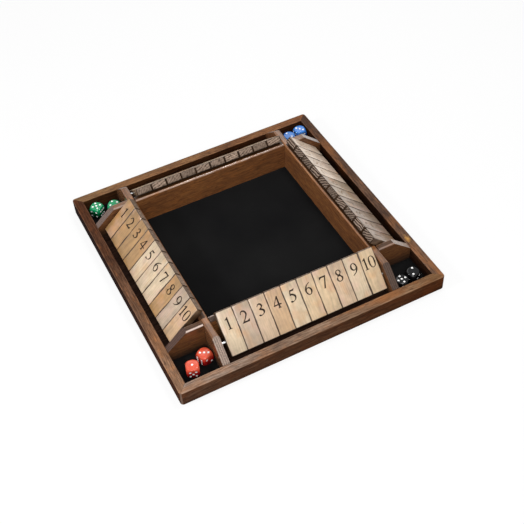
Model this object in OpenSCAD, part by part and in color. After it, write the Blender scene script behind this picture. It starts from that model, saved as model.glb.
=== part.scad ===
// Four-player shut the box game: a square frame with a felt rolling tray in the middle, a row of ten
// number tiles on each side, and a dice compartment in each corner.
// The origin is the middle of the underside, +Z is up, and the front player sits at -Y.

/* [Frame] */
// Height of the frame rails
rail_h = 22; // [18:0.5:26]
// Thickness of the frame rails
rail_t = 12; // [8:0.5:13]
// Radius of the four outside corners of the frame
corner_r = 4; // [3:0.5:7.5]
// Rounding of the top edges of the rails
rail_round = 1.5; // [0.5:0.25:2.5]

/* [Floor] */
// Thickness of the base panel
base_t = 3.3; // [2.5:0.1:5]
// Width of the rebate in each rail that takes the edge of the base panel
rebate_w = 6; // [4:0.5:7.5]
// Gap around the edge of the base panel
panel_gap = 0.15; // [0.1:0.05:0.5]
// Thickness of the felt
felt_t = 1; // [0.5:0.1:2]
// Gap around the edge of each piece of felt
felt_gap = 0.15; // [0.1:0.05:0.5]

/* [Divider boards] */
// Thickness of the divider boards
board_t = 9; // [7:0.25:12]
// Height of the boards' top edge above the table
board_top = 44.5; // [42:0.5:50]
// Rounding of the boards' top edges
board_round = 2.5; // [1:0.25:3.25]
// Length of the sloped part at each end of a board
slope_run = 26; // [20:0.5:32]
// Side gap in the cross-lap joints
lap_gap = 0.1; // [0.05:0.05:0.3]

/* [Tiles] */
// Width of a number tile
tile_w = 20.7; // [16:0.1:24]
// Thickness of a number tile
tile_t = 8.8; // [6:0.1:10]
// Length of a tile from the axis of its rod to its number end
number_end = 36; // [32:0.5:40]
// Length of a tile from the axis of its rod to its foot
foot_end = 18.6; // [14:0.1:22]
// Rounding of the long and end edges of a tile
tile_round = 0.6; // [0.3:0.1:1]
// Gap between an open or shut tile and the edge it lies against
stop_gap = 0.3; // [0.3:0.05:0.5]
// Whether the tiles show their numbers or lie shut on the rails
tiles_are = "open"; // [open, shut]

/* [Tile rows] */
// Gap between neighbouring tiles in the front row
front_gap = 0.4; // [0.3:0.1:2]
// Gap between neighbouring tiles in the right row
right_gap = 1.1; // [0.3:0.1:2]
// Gap between neighbouring tiles in the back row
back_gap = 0.5; // [0.3:0.1:2]
// Gap between neighbouring tiles in the left row
left_gap = 0.4; // [0.3:0.1:2]
// Room between the boards and each end of the row that is longest
row_room = 1.05; // [0.5:0.05:4]
// Where the front row lies in its room, from -1 at its player's left to 1 at the right
front_push = 0.6; // [-1:0.05:1]
// Where the right row lies in its room
right_push = 0.5; // [-1:0.05:1]
// Where the back row lies in its room
back_push = -0.3; // [-1:0.05:1]
// Where the left row lies in its room
left_push = -0.5; // [-1:0.05:1]

/* [Rods] */
// Diameter of the steel rods
rod_d = 3; // [2:0.1:4]
// Distance of each rod's axis from the outer face of the tray wall
rod_out = 23; // [23:0.25:26]
// Height of the rods' axes above the table
rod_z = 28.4; // [27:0.1:31]
// Distance from the end of a shut tile to the outer face of the rail under it
shut_margin = 0.5; // [0.5:0.25:3]
// Radial clearance of a tile's bore on its rod
rod_run_gap = 0.08; // [0.02:0.01:0.1]
// Radial clearance of a rod's end in its blind hole
rod_seat_gap = 0.04; // [0.02:0.01:0.1]
// Length of rod that is let into a board at each end
rod_bury = 4; // [3:0.5:5.5]
// Gap between a rod's end and the bottom of its blind hole
rod_end_gap = 0.2; // [0.1:0.1:0.5]

/* [Dice] */
// Width of a die across its flat faces
die_size = 16; // [12:0.5:16.5]
// Radius of the ball that rounds off a die's corners, as a share of its width
die_ball = 0.675; // [0.65:0.005:0.69]
// Distance of the outer pips from a face's middle lines, as a share of its width
pip_place = 0.22; // [0.2:0.01:0.25]
// Diameter of a pip
pip_d = 2.8; // [2:0.1:3]
// Depth of a pip
pip_depth = 0.4; // [0.2:0.1:0.6]

/* [Dice places] */
// Gap between the first green die and the left rail
green_1_rail = 2.1; // [0.5:0.1:4]
// Gap between the second green die and the left board
green_2_board = 1.75; // [0.5:0.05:4]
// Gaps between the green dice and the back rail
green_1_back = 3.4; // [0.5:0.1:6]
green_2_back = 10.8; // [8:0.1:24]
// Gap between the first blue die and the right rail
blue_1_rail = 0.7; // [0.5:0.1:8]
// Gap between the two blue dice, along X
blue_between = 0.5; // [0.5:0.1:8]
// Gaps between the blue dice and the back rail
blue_1_back = 4.9; // [0.5:0.1:24]
blue_2_back = 7.1; // [0.5:0.1:24]
// Gap between the first red die and the left board
red_1_board = 0.6; // [0.5:0.1:8]
// Gap between the two red dice along X, less than nothing because they lie diagonally
red_between = -0.2; // [-1:0.1:6]
// Gaps between the red dice and the front rail
red_1_front = 19; // [18:0.5:24]
red_2_front = 10; // [0.5:0.5:11]
// Gap between the first black die and the right board
black_1_board = 0.7; // [0.5:0.1:6]
// Gap between the two black dice along X, less than nothing because they lie diagonally
black_between = -2.4; // [-2.4:0.1:4]
// Gaps between the black dice and the front rail
black_1_front = 0.4; // [0.4:0.1:0.6]
black_2_front = 5.4; // [5.2:0.1:24]

/* [Hidden] */
$fn = 64;
// How far a cut runs past the faces that it opens
over = 1;

SIDES = ["front", "right", "back", "left"];
tiles_per_side = 10;
tile_gaps = [front_gap, right_gap, back_gap, left_gap];
pushes = [front_push, right_push, back_push, left_push];

// The tray is as wide as the longest row of tiles and its room; the frame lies around it
function row_len(gap) = tiles_per_side * (tile_w + gap) - gap;
tray_half = row_len(max(tile_gaps)) / 2 + row_room;
board_mid = tray_half + board_t / 2;
board_out = tray_half + board_t;
rod_radial = board_out + rod_out;
frame_half = rod_radial + number_end + shut_margin;
frame_in = frame_half - rail_t;
floor_z = base_t + felt_t;
lap_z = (base_t + board_top) / 2;

rod_r = rod_d / 2;
rod_len = 2 * (tray_half + rod_bury);

// An open tile lies back on the rounded outer edge of the tray wall, at this angle above the level
wall_in = rod_out + board_round;
wall_up = board_top - board_round - rod_z;
open_angle = atan2(wall_up, wall_in)
    + asin((tile_t / 2 + board_round + stop_gap) / norm([wall_in, wall_up]));

// A shut tile lies face down on the rounded outer edge of the rail, turned on past the level
rail_out = frame_half - rail_round - rod_radial;
rail_down = rod_z - (rail_h - rail_round);
shut_angle = 180 + atan2(rail_down, rail_out)
    - asin((tile_t / 2 + rail_round + stop_gap) / norm([rail_out, rail_down]));
tile_angle = tiles_are == "shut" ? shut_angle : open_angle;

die_half = die_size / 2;
die_r = die_size * die_ball;
pip_ball = (pow(pip_d / 2, 2) + pow(pip_depth, 2)) / (2 * pip_depth);

// How far a die that is turned by angle a reaches along X or Y
half_arc = 45 - acos(die_half / die_r);
function off_corner(a) = abs(((a % 90) + 90) % 90 - 45);
function reach(a) = die_r * cos(max(0, off_corner(a) - half_arc));

// Distances from the middle of the game to the middle of a die that lies beside a rail or a board
function from_rail(gap, a) = frame_in - gap - reach(a);
function from_board(gap, a) = board_out + gap + reach(a);

green = [40, 51];
blue = [-2, -23];
red = [18, -18];
black = [47, -68];
blue_1_x = from_rail(blue_1_rail, blue[0]);
red_1_x = from_board(red_1_board, red[0]);
black_1_x = from_board(black_1_board, black[0]);

// Each die: name, colour, signs of its corner in X and Y, turn, the numbers on its +X, -Y and +Z faces,
// and the distances of its middle from the middle of the game in X and Y
DICE = [
    ["green_1", "#0b7a4b", [-1, 1], green[0], [3, 6, 5],
        from_rail(green_1_rail, green[0]), from_rail(green_1_back, green[0])],
    ["green_2", "#0b7a4b", [-1, 1], green[1], [6, 2, 4],
        from_board(green_2_board, green[1]), from_rail(green_2_back, green[1])],
    ["blue_1", "#2f6fd0", [1, 1], blue[0], [2, 6, 3],
        blue_1_x, from_rail(blue_1_back, blue[0])],
    ["blue_2", "#2f6fd0", [1, 1], blue[1], [3, 1, 2],
        blue_1_x - reach(blue[0]) - blue_between - reach(blue[1]), from_rail(blue_2_back, blue[1])],
    ["red_1", "#e2463c", [-1, -1], red[0], [1, 2, 3],
        red_1_x, from_rail(red_1_front, red[0])],
    ["red_2", "#e2463c", [-1, -1], red[1], [3, 5, 1],
        red_1_x + reach(red[0]) + red_between + reach(red[1]), from_rail(red_2_front, red[1])],
    ["black_1", "#141416", [1, -1], black[0], [4, 1, 5],
        black_1_x, from_rail(black_1_front, black[0])],
    ["black_2", "#141416", [1, -1], black[1], [3, 1, 2],
        black_1_x + reach(black[0]) + black_between + reach(black[1]),
        from_rail(black_2_front, black[1])]
];

// Places on side s what is drawn for the front
module on_side(s) {
    rotate([0, 0, 90 * s]) children();
}

// A rectangle about the origin with round corners
module round_rect(w, h, r) {
    square([w, h - 2 * r], center = true);
    square([w - 2 * r, h], center = true);
    for (x = [-1, 1])
        for (y = [-1, 1])
            translate([x * (w / 2 - r), y * (h / 2 - r)]) circle(r);
}

// A bar's cross-section from height z0 to z1, centred on X, with its two top corners rounded
module rounded_top(w, z0, z1, r) {
    translate([-w / 2, z0]) square([w, z1 - r - z0]);
    translate([-w / 2 + r, z0]) square([w - 2 * r, z1 - z0]);
    for (x = [-1, 1])
        translate([x * (w / 2 - r), z1 - r]) circle(r);
}

// The outer strip of a rail's cross-section, which turns about each outside corner
module corner_strip() {
    intersection() {
        square([corner_r, rail_h]);
        translate([corner_r - rail_t / 2, 0]) rounded_top(rail_t, 0, rail_h, rail_round);
    }
}

// One mitred rail, up to the middle of the rounded corner at each end
module frame_rail(s) {
    straight = frame_half - corner_r;
    color(s == 0 ? "#8b6a4f" : "#6b4a35")
    on_side(s)
    difference() {
        union() {
            intersection() {
                translate([0, -frame_half + rail_t / 2, 0])
                    rotate([90, 0, 90])
                    linear_extrude(2 * straight, center = true)
                    rounded_top(rail_t, 0, rail_h, rail_round);
                translate([0, 0, -over])
                    linear_extrude(rail_h + 2 * over)
                    polygon([[-frame_half - over, -frame_half - over],
                             [frame_half + over, -frame_half - over],
                             [frame_in - over, -frame_in + over],
                             [-frame_in + over, -frame_in + over]]);
            }
            for (x = [-1, 1])
                translate([x * straight, -straight, 0])
                    rotate([0, 0, x > 0 ? -90 : -135])
                    rotate_extrude(angle = 45)
                    corner_strip();
        }
        translate([-frame_half, -frame_in - rebate_w, -over])
            cube([2 * frame_half, rebate_w + over, base_t + over]);
    }
}

module base_panel() {
    side = 2 * (frame_in + rebate_w - panel_gap);
    color("#4a3222")
    translate([-side / 2, -side / 2, 0]) cube([side, side, base_t]);
}

module felt_tray() {
    side = 2 * (tray_half - felt_gap);
    color("#17181a")
    translate([-side / 2, -side / 2, base_t]) cube([side, side, felt_t]);
}

module felt_corners() {
    near = board_out + felt_gap;
    side = frame_in - felt_gap - near;
    color("#17181a")
    for (s = [0:3])
        on_side(s)
        translate([near, near, base_t]) cube([side, side, felt_t]);
}

// Side view of a board: level along the tray, then sloping down to the top of the rail at each end
module board_outline() {
    shoulder = frame_in - slope_run;
    polygon([[-frame_in, base_t], [frame_in, base_t], [frame_in, rail_h],
             [shoulder, board_top], [-shoulder, board_top], [-frame_in, rail_h]]);
}

// One board of the grid: a tray wall in the middle and a sloped divider at each end. The front and back
// boards are notched from above, and the left and right boards drop over them.
module divider_board(s) {
    from_above = s % 2 == 0;
    color("#6b3f1f")
    on_side(s)
    translate([0, -board_mid, 0])
    difference() {
        intersection() {
            translate([-frame_in, 0, 0])
                rotate([90, 0, 90])
                linear_extrude(2 * frame_in)
                rounded_top(board_t, base_t, board_top, board_round);
            translate([0, board_t / 2 + over, 0])
                rotate([90, 0, 0])
                linear_extrude(board_t + 2 * over)
                board_outline();
        }
        for (x = [-1, 1]) {
            translate([x * board_mid, 0, from_above ? lap_z : base_t - over])
                lap_notch(from_above ? board_top - lap_z + over : lap_z - base_t + over);
            translate([x * rod_radial, 0, rod_z])
                rod_hole();
        }
    }
}

// The slot of height h that takes the crossing board
module lap_notch(h) {
    w = board_t + 2 * lap_gap;
    d = board_t + 2 * over;
    translate([-w / 2, -d / 2, 0]) cube([w, d, h]);
}

// The blind hole for the end of a rod, entered from the face towards the middle of the game
module rod_hole() {
    translate([0, board_t / 2 + over, 0])
        rotate([90, 0, 0])
        cylinder(h = rod_bury + rod_end_gap + over, r = rod_r + rod_seat_gap);
}

// The four rods, one for each row of tiles
module tile_rods() {
    color("#c9cccf")
    for (s = [0:3])
        on_side(s)
        translate([-rod_len / 2, -rod_radial, rod_z])
        rotate([0, 90, 0])
        cylinder(h = rod_len, r = rod_r);
}

// A number tile about its rod's axis, with +Y towards the number end and +Z out of the number face
module tile_blank() {
    tile_len = number_end + foot_end;
    difference() {
        intersection() {
            translate([0, number_end, 0])
                rotate([90, 0, 0])
                linear_extrude(tile_len)
                round_rect(tile_w, tile_t, tile_round);
            translate([-tile_w / 2, (number_end - foot_end) / 2, 0])
                rotate([90, 0, 90])
                linear_extrude(tile_w)
                round_rect(tile_len, tile_t, tile_round);
        }
        translate([-tile_w / 2 - over, 0, 0])
            rotate([0, 90, 0])
            cylinder(h = tile_w + 2 * over, r = rod_r + rod_run_gap);
    }
}

// Tile n of the row on side s, counted from its player's left
module tile(s, n) {
    pitch = tile_w + tile_gaps[s];
    room = tray_half - stop_gap - row_len(tile_gaps[s]) / 2;
    x = pushes[s] * room + (n - (tiles_per_side + 1) / 2) * pitch;
    color("#d8bd94")
    on_side(s)
    translate([x, -rod_radial, rod_z])
    rotate([tile_angle, 0, 0])
    tile_blank();
}

// Where the pips of a number lie on a face, in steps from its middle
function pip_spots(n) = concat(
    n % 2 == 1 ? [[0, 0]] : [],
    n > 1 ? [[-1, 1], [1, -1]] : [],
    n > 3 ? [[1, 1], [-1, -1]] : [],
    n == 6 ? [[0, 1], [0, -1]] : []
);

// The dimples of one number, for the top of a die about the origin
module pips(n) {
    for (spot = pip_spots(n))
        translate([spot[0] * pip_place * die_size, spot[1] * pip_place * die_size,
                   die_half - pip_depth + pip_ball])
        sphere(pip_ball);
}

// A die about its middle, with the given numbers on its +X, -Y and +Z faces
module die_blank(faces) {
    difference() {
        intersection() {
            cube(die_size, center = true);
            sphere(die_r);
        }
        rotate([0, 90, 0]) pips(faces[0]);
        rotate([0, -90, 0]) pips(7 - faces[0]);
        rotate([90, 0, 0]) pips(faces[1]);
        rotate([-90, 0, 0]) pips(7 - faces[1]);
        pips(faces[2]);
        rotate([180, 0, 0]) pips(7 - faces[2]);
    }
}

// Die d, where it lies in its corner
module die(d) {
    color(d[1])
    translate([d[2][0] * d[5], d[2][1] * d[6], floor_z + die_half])
    rotate([0, 0, d[3]])
    die_blank(d[4]);
}

base_panel();
felt_tray();
felt_corners();
tile_rods();
for (s = [0:3])
    frame_rail(s);
for (s = [0:3])
    divider_board(s);
for (s = [0:3])
    for (n = [1:tiles_per_side])
        tile(s, n);
for (d = DICE)
    die(d);
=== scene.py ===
"""The looks of a four-player shut the box game: woods, numbered tiles, felt, rods and dice."""
import logging
import math
from dataclasses import dataclass, field
from enum import Enum
from typing import Any, Iterable, Sequence

import bmesh
import bpy
from bpy.types import Material, Mesh, Node, NodeSocket, NodeTree, Object
from mathutils import Matrix, Vector, noise


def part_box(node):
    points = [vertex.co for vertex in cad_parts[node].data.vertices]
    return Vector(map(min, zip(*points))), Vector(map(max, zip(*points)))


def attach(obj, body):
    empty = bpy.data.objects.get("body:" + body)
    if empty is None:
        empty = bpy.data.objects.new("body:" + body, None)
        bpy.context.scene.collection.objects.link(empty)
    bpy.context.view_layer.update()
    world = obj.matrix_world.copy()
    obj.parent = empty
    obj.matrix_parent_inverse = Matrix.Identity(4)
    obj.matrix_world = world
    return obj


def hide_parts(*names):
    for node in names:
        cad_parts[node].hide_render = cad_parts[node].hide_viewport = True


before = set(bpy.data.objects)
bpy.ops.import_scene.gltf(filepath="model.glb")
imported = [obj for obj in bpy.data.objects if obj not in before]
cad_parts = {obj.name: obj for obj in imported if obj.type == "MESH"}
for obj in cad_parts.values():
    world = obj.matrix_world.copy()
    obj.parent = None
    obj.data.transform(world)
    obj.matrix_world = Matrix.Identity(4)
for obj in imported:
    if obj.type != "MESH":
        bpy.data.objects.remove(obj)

Wire = Node | NodeSocket | float
log = logging.getLogger("shut_the_box")
MM = 0.001
# From the middle of the game: the ends of the stain's run, a tray wall's inner face, and the
# middle and just past the outer face of the board that crosses another.
RUN_HALF = 170.0 * MM
TRAY_HALF = 109.5 * MM
LAP_MIDDLE = 114.0 * MM
LAP_OUTER = 119.0 * MM


class Side(Enum):
    """The four sides of the game, each with its quarter turn from the front."""

    FRONT = 0
    RIGHT = 1
    BACK = 2
    LEFT = 3

    @property
    def word(self) -> str:
        """The name that the nodes of this side carry."""
        return self.name.lower()

    @property
    def turn(self) -> float:
        """The turn about Z from the front side to this one, in radians."""
        return self.value * math.pi / 2


class Tone(Enum):
    """The tile wood's colours; the last two, for the right row, are paled by painted glare."""

    CREAM = "#d0ba9b"
    STRAW = "#cdb28e"
    HONEY = "#c09e79"
    AMBER = "#a78152"
    ROSE = "#c8ac8e"
    ASH = "#b39e87"
    HAZE = "#9c8774"
    PALE = "#e5d0ba"


class Slot(Enum):
    """Material slot names; the dice table pairs one with each resin, and nothing reads them."""

    TILE = "tile_wood"
    FELT = "black_felt"
    GREEN = "green_resin"
    BLUE = "blue_resin"
    RED = "red_resin"
    BLACK = "black_resin"


def linear(code: str) -> tuple[float, float, float, float]:
    """Turns an sRGB hex colour into linear light.

    Args:
        code: The colour as "#rrggbb".

    Returns:
        Red, green and blue in linear light, and an alpha of 1.
    """
    parts = [int(code[i:i + 2], 16) / 255 for i in (1, 3, 5)]
    light = [c / 12.92 if c <= 0.04045 else ((c + 0.055) / 1.055) ** 2.4 for c in parts]
    return light[0], light[1], light[2], 1.0


def plug(tree: NodeTree, node: Node, *values: Any, **named: Any) -> None:
    """Sets or links the inputs of a node.

    Args:
        tree: The node tree.
        node: The node.
        values: What goes to its live inputs in turn: a value, a socket, or a node for its first
            live output.
        named: The same for inputs by name, with underscores for spaces.
    """
    live = [socket for socket in node.inputs if socket.enabled]
    pairs = list(zip(live, values))
    pairs += [(node.inputs[name.replace("_", " ")], value) for name, value in named.items()]
    for socket, value in pairs:
        if isinstance(value, Node):
            value = next(out for out in value.outputs if out.enabled)
        if isinstance(value, NodeSocket):
            tree.links.new(value, socket)
        else:
            socket.default_value = value


def add(tree: NodeTree, kind: str, *values: Any, stops: Sequence[tuple[float, str]] = (),
        **named: Any) -> Node:
    """Adds a shader node with its settings and links.

    Args:
        tree: The material's or world's node tree.
        kind: The node's type without the word ShaderNode, then its operation or data type.
        values: What goes to its live inputs in turn.
        stops: Places and colours of a colour ramp.
        named: The node's own properties in lower case, and inputs by name with a capital.

    Returns:
        The new node.
    """
    word, _, mode = kind.partition(" ")
    made = tree.nodes.new("ShaderNode" + word)
    if mode:
        setattr(made, "data_type" if word == "Mix" else "operation", mode)
    for name in [name for name in named if name[0].islower()]:
        setattr(made, name, named.pop(name))
    plug(tree, made, *values, **named)
    for i, (place, colour) in enumerate(stops):
        points = made.color_ramp.elements
        point = points[i] if i < len(points) else points.new(place)
        point.position = place
        point.color = linear(colour)
    return made


def empty_tree(owner: Material | bpy.types.World) -> NodeTree:
    """Gives a material or a world its own node tree, with nothing in it.

    Args:
        owner: The material or the world.

    Returns:
        The node tree.
    """
    owner.use_nodes = True
    owner.node_tree.nodes.clear()
    return owner.node_tree


def new_material(name: str) -> tuple[Material, NodeTree, Node]:
    """Starts a material with an empty Principled shader.

    Args:
        name: The material's name.

    Returns:
        The material, its node tree and its shader node.
    """
    made = bpy.data.materials.new(name)
    tree = empty_tree(made)
    shader = add(tree, "BsdfPrincipled")
    add(tree, "OutputMaterial", shader)
    return made, tree, shader


def placed(name: str, data: bpy.types.ID) -> Object:
    """Adds an object to the scene.

    Args:
        name: Its name.
        data: Its mesh, curve, light or camera.

    Returns:
        The new object.
    """
    made = bpy.data.objects.new(name, data)
    bpy.context.scene.collection.objects.link(made)
    return made


def piece(name: str, mesh: Mesh, body: str, replaced: str) -> Object:
    """Puts a finished mesh into the scene as a piece that rides on a body.

    Args:
        name: The piece's name.
        mesh: Its mesh, with its place in the vertices.
        body: The body that it moves with.
        replaced: The CAD node that it stands for.

    Returns:
        The new object.
    """
    made = placed(name, mesh)
    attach(made, body)
    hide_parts(replaced)
    return made


def carve(body: Mesh, tool: Mesh) -> Mesh:
    """Cuts one closed mesh out of another; the cut faces keep the tool's material.

    Args:
        body: The mesh that is cut.
        tool: The mesh that is taken away.

    Returns:
        The cut mesh.
    """
    host = placed("host", body)
    cutter = placed("cutter", tool)
    cut = host.modifiers.new("cut", "BOOLEAN")
    cut.operation = "DIFFERENCE"
    cut.solver = "EXACT"
    cut.material_mode = "TRANSFER"
    cut.object = cutter
    depsgraph = bpy.context.evaluated_depsgraph_get()
    made = bpy.data.meshes.new_from_object(host.evaluated_get(depsgraph))
    bpy.data.objects.remove(host)
    bpy.data.objects.remove(cutter)
    return made


def mesh_of(shape: bmesh.types.BMesh, name: str, materials: Iterable[Material]) -> Mesh:
    """Turns a bmesh into a mesh and frees the bmesh.

    Args:
        shape: The bmesh.
        name: The mesh's name.
        materials: The mesh's materials, in slot order.

    Returns:
        The mesh.
    """
    made = bpy.data.meshes.new(name)
    shape.to_mesh(made)
    shape.free()
    for one in materials:
        made.materials.append(one)
    return made


def smooth(mesh: Mesh, sharp: float = 180.0) -> None:
    """Shades a mesh smooth, but for its sharp edges.

    Args:
        mesh: The mesh.
        sharp: The angle from which an edge counts as sharp, in degrees.
    """
    mesh.polygons.foreach_set("use_smooth", [True] * len(mesh.polygons))
    if sharp < 180:
        mesh.set_sharp_from_angle(angle=math.radians(sharp))


def dress(node: str, finish: Material) -> None:
    """Gives a CAD node's object its finish.

    Args:
        node: The node's name.
        finish: The material.
    """
    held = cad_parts[node]
    held.data.materials.clear()
    held.data.materials.append(finish)


def marks(tree: NodeTree, colour: Wire, hue: str, place: Wire, stretch: tuple[float, float, float],
          band: tuple[float, float], most: float, **noise_settings: Any) -> tuple[Wire, Wire]:
    """Lays spots of another colour over a colour, drawn out along the grain.

    Args:
        tree: The material's node tree.
        colour: The colour so far.
        hue: The spots' colour.
        place: The place on the piece.
        stretch: How many spots fit in a metre along X, Y and Z.
        band: The level of the noise where a spot begins, and where it is full.
        most: The share of the spots' colour where they are full.
        noise_settings: The noise's other inputs and properties.

    Returns:
        The new colour, and the spots' share of it.
    """
    at = add(tree, "VectorMath MULTIPLY", place, stretch)
    spots = add(tree, "TexNoise", at, Scale=1.0, **noise_settings)
    share = add(tree, "MapRange", spots, *band, To_Max=most)
    return add(tree, "Mix RGBA", share, colour, linear(hue)), share


@dataclass(frozen=True)
class Place:
    """A place on a piece and the direction its surface faces, both turned to the front side."""

    tree: NodeTree
    spot: Wire
    x: Wire
    y: Wire
    z: Wire
    face_x: Wire
    face_y: Wire
    face_z: Wire
    out: Wire
    end: Wire

    @classmethod
    def of(cls, tree: NodeTree, turn: float) -> "Place":
        """Adds the nodes that find the place.

        Args:
            tree: The material's node tree.
            turn: The turn about Z from the front side to the piece, in radians.

        Returns:
            The place. Its out is the distance from the middle along X, and its end says how
            squarely the surface faces along X.
        """
        where = add(tree, "TexCoord")
        back = (0, 0, -turn)
        spot = add(tree, "Mapping", where.outputs["Object"], Rotation=back)
        facing = add(tree, "Mapping", where.outputs["Normal"], Rotation=back, vector_type="NORMAL")
        axes = add(tree, "SeparateXYZ", spot).outputs
        side = add(tree, "SeparateXYZ", facing).outputs
        return cls(tree, spot, *axes, *side, add(tree, "Math ABSOLUTE", axes["X"]),
                   add(tree, "Math ABSOLUTE", side["X"]))


@dataclass(frozen=True)
class StainedWood:
    """Straight-grained hardwood, planed, wiped with a walnut stain and sealed with satin oil.

    The open pores take more stain than the wood between them, so the eye sees fine dark hairs on a
    broad, cloudy brown. The oil shines only on the tops and rounded edges that hands have rubbed;
    the upright faces stay matt, and the end grain drinks unevenly and looks grey.
    """

    name: str
    dark: str
    mid: str
    light: str
    fleck: str
    side_tint: str = "#ffffff"
    edge_tone: str = "#a98468"
    edge_share: float = 0.25
    rubbed_side: float = 0.0
    rubbed_ends: float = 0.0
    corner_level: float = 0.7
    dry_ends: float = 0.0
    end_tones: tuple[str, str] = ("#6a564a", "#6a564a")
    run: tuple[tuple[float, ...], ...] = ((1.0, 1.0, 1.0), (1.0, 1.0, 1.0))
    run_bend: float = 1.0
    turn: float = 0.0
    ring_pitch: float = 3.2
    ring_share: float = 0.035
    hair_width: float = 0.8
    flecks: float = 0.4
    roughness: float = 0.42
    matt: float = 0.95
    gloss: float = 0.03
    oil: float = 0.0
    patches: float = 0.0
    mitred: bool = False
    lapped: bool = False
    divider: bool = False
    knot: tuple[float, ...] = ()

    def material(self) -> Material:
        """Builds the stained wood's material.

        Returns:
            The material, with its grain along the piece.
        """
        made, tree, shader = new_material(self.name)
        at = Place.of(tree, self.turn)
        upward = add(tree, "MapRange", at.face_z, 0.2, 0.75, interpolation_type="SMOOTHSTEP")
        colour, hairs, pores = self.grain(at)
        # the colour changes along the piece toward one end;
        # on the front rail the paler, greyer left end is painted glare
        reach = add(tree, "MapRange", at.x, -RUN_HALF, RUN_HALF)
        bent = add(tree, "Math POWER", reach, self.run_bend)
        taken = add(tree, "Mix RGBA", bent, (*self.run[0], 1.0), (*self.run[1], 1.0))
        dark_matt_flat = soil = 0.0
        # painted shade in the corner compartments; the flat tops there are darker and matt
        if self.divider:
            taken, dark_matt_flat = self.corner_walls(at, taken)
        colour = self.worn_edge(at, add(tree, "VectorMath MULTIPLY", colour, taken))
        # painted shadow of the tiles on the boards' tops
        if self.divider:
            colour, soil = self.soiled_top(at, colour)
        # painted shade: upright faces are darkened by their tint, as if less lit
        tint = add(tree, "Mix RGBA", upward, linear(self.side_tint), (1, 1, 1, 1))
        colour = self.end_grain(at, hairs, add(tree, "VectorMath MULTIPLY", colour, tint))
        if self.knot:
            colour = self.lone_knot(at, colour)
        if self.mitred or self.lapped:
            colour = self.joint_line(at, colour)
        rubbed = add(tree, "MapRange", hairs, 0.3, 0.7, self.roughness + 0.12,
                     self.roughness - 0.05)
        rough = add(tree, "Mix FLOAT", upward, self.matt, rubbed)
        relief = add(tree, "Math MULTIPLY_ADD", pores, -1.0, hairs)
        bump = add(tree, "Bump", Height=relief, Strength=0.35, Distance=0.12 * MM)
        plug(tree, shader, Base_Color=colour, Roughness=rough, Normal=bump,
             Specular_IOR_Level=self.gloss, Coat_Roughness=0.14)
        if self.oil:
            # the end grain drinks the oil and stays matt
            film = add(tree, "MapRange", at.end, 0.35, 0.6, self.oil, 0.1 * self.oil)
            clean = add(tree, "Math SUBTRACT", film, soil)
            left = add(tree, "Math SUBTRACT", clean, dark_matt_flat, use_clamp=True)
            plug(tree, shader, Coat_Weight=left)
        return made

    def grain(self, at: Place) -> tuple[Wire, Wire, Wire]:
        """Draws rings, hairs, clouds, flecks and pores along the piece.

        Args:
            at: The place on the piece.

        Returns:
            The colour, the hairs and the open pores.
        """
        tree = at.tree
        wander = add(tree, "TexNoise", at.spot, Scale=14.0, Detail=2.0)
        drift = add(tree, "VectorMath SUBTRACT", wander.outputs["Color"], (0.5, 0.5, 0.5))
        swayed = add(tree, "VectorMath MULTIPLY_ADD", drift, (0.0, 0.007, 0.007), at.spot)
        # growth rings about a pith that lies outside the board, ring_pitch millimetres apart
        away = add(tree, "VectorMath MULTIPLY", swayed, (0.0, 1.0, 1.0))
        off = add(tree, "VectorMath SUBTRACT", away, (0.0, 0.05, -0.11))
        reach = add(tree, "VectorMath LENGTH", off)
        phase = add(tree, "Math MULTIPLY", reach, 2 * math.pi / (self.ring_pitch * MM))
        wave = add(tree, "Math SINE", phase)
        # stained hairs, hair_width millimetres wide and some twenty times as long
        across = 1 / (2 * self.hair_width * MM)
        hair_at = add(tree, "VectorMath MULTIPLY", swayed, (across / 22, across, across))
        hairs = add(tree, "TexNoise", hair_at, Scale=1.0, Detail=4.0, Roughness=0.65)
        # clouds of stain 25 mm long and 6 mm wide
        cloud_at = add(tree, "VectorMath MULTIPLY", swayed, (20.0, 85.0, 85.0))
        cloud = add(tree, "TexNoise", cloud_at, Scale=1.0, Detail=3.0)
        misty = add(tree, "Math MULTIPLY", cloud, 0.35)
        hairy = add(tree, "Math MULTIPLY_ADD", hairs, 1.0, misty)
        blended = add(tree, "Math MULTIPLY_ADD", wave, self.ring_share, hairy)
        tone = add(tree, "MapRange", blended, 0.46, 0.87)
        colour = add(tree, "ValToRGB", tone,
                     stops=[(0.0, self.dark), (0.5, self.mid), (1.0, self.light)])
        # orange flecks 2 mm wide and 6 mm long, where the stain was wiped thin
        colour, _ = marks(tree, colour, self.fleck, at.spot, (90.0, 260.0, 260.0), (0.55, 0.75),
                          self.flecks, Detail=2.0)
        # a few orange patches some 15 mm wide, where the wood is dense and took little stain
        colour, _ = marks(tree, colour, self.fleck, swayed, (16.0, 34.0, 34.0), (0.56, 0.68),
                          self.patches, Detail=2.0)
        # open pores 0.7 mm wide and 4 mm long
        colour, pores = marks(tree, colour, self.dark, at.spot, (125.0, 750.0, 750.0),
                              (0.57, 0.66), 0.6, Detail=1.0)
        return colour, hairs, pores

    def lone_knot(self, at: Place, colour: Wire) -> Wire:
        """Sets one small orange knot, 15 mm long and 7 mm wide, through the piece.

        Args:
            at: The place on the piece.
            colour: The colour so far.

        Returns:
            The colour with the knot in it.
        """
        tree = at.tree
        away = add(tree, "VectorMath SUBTRACT", at.spot, tuple(c * MM for c in self.knot))
        flat = add(tree, "VectorMath MULTIPLY", away, (1 / (7.5 * MM), 1 / (3.5 * MM), 0))
        far = add(tree, "VectorMath LENGTH", flat)
        ragged = add(tree, "TexNoise", at.spot, Scale=350.0, Detail=2.0)
        edge = add(tree, "Math MULTIPLY_ADD", ragged, 1.4, far)
        share = add(tree, "MapRange", edge, 0.7, 1.8, 0.85, 0.0)
        return add(tree, "Mix RGBA", share, colour, linear("#c2904e"))

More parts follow.
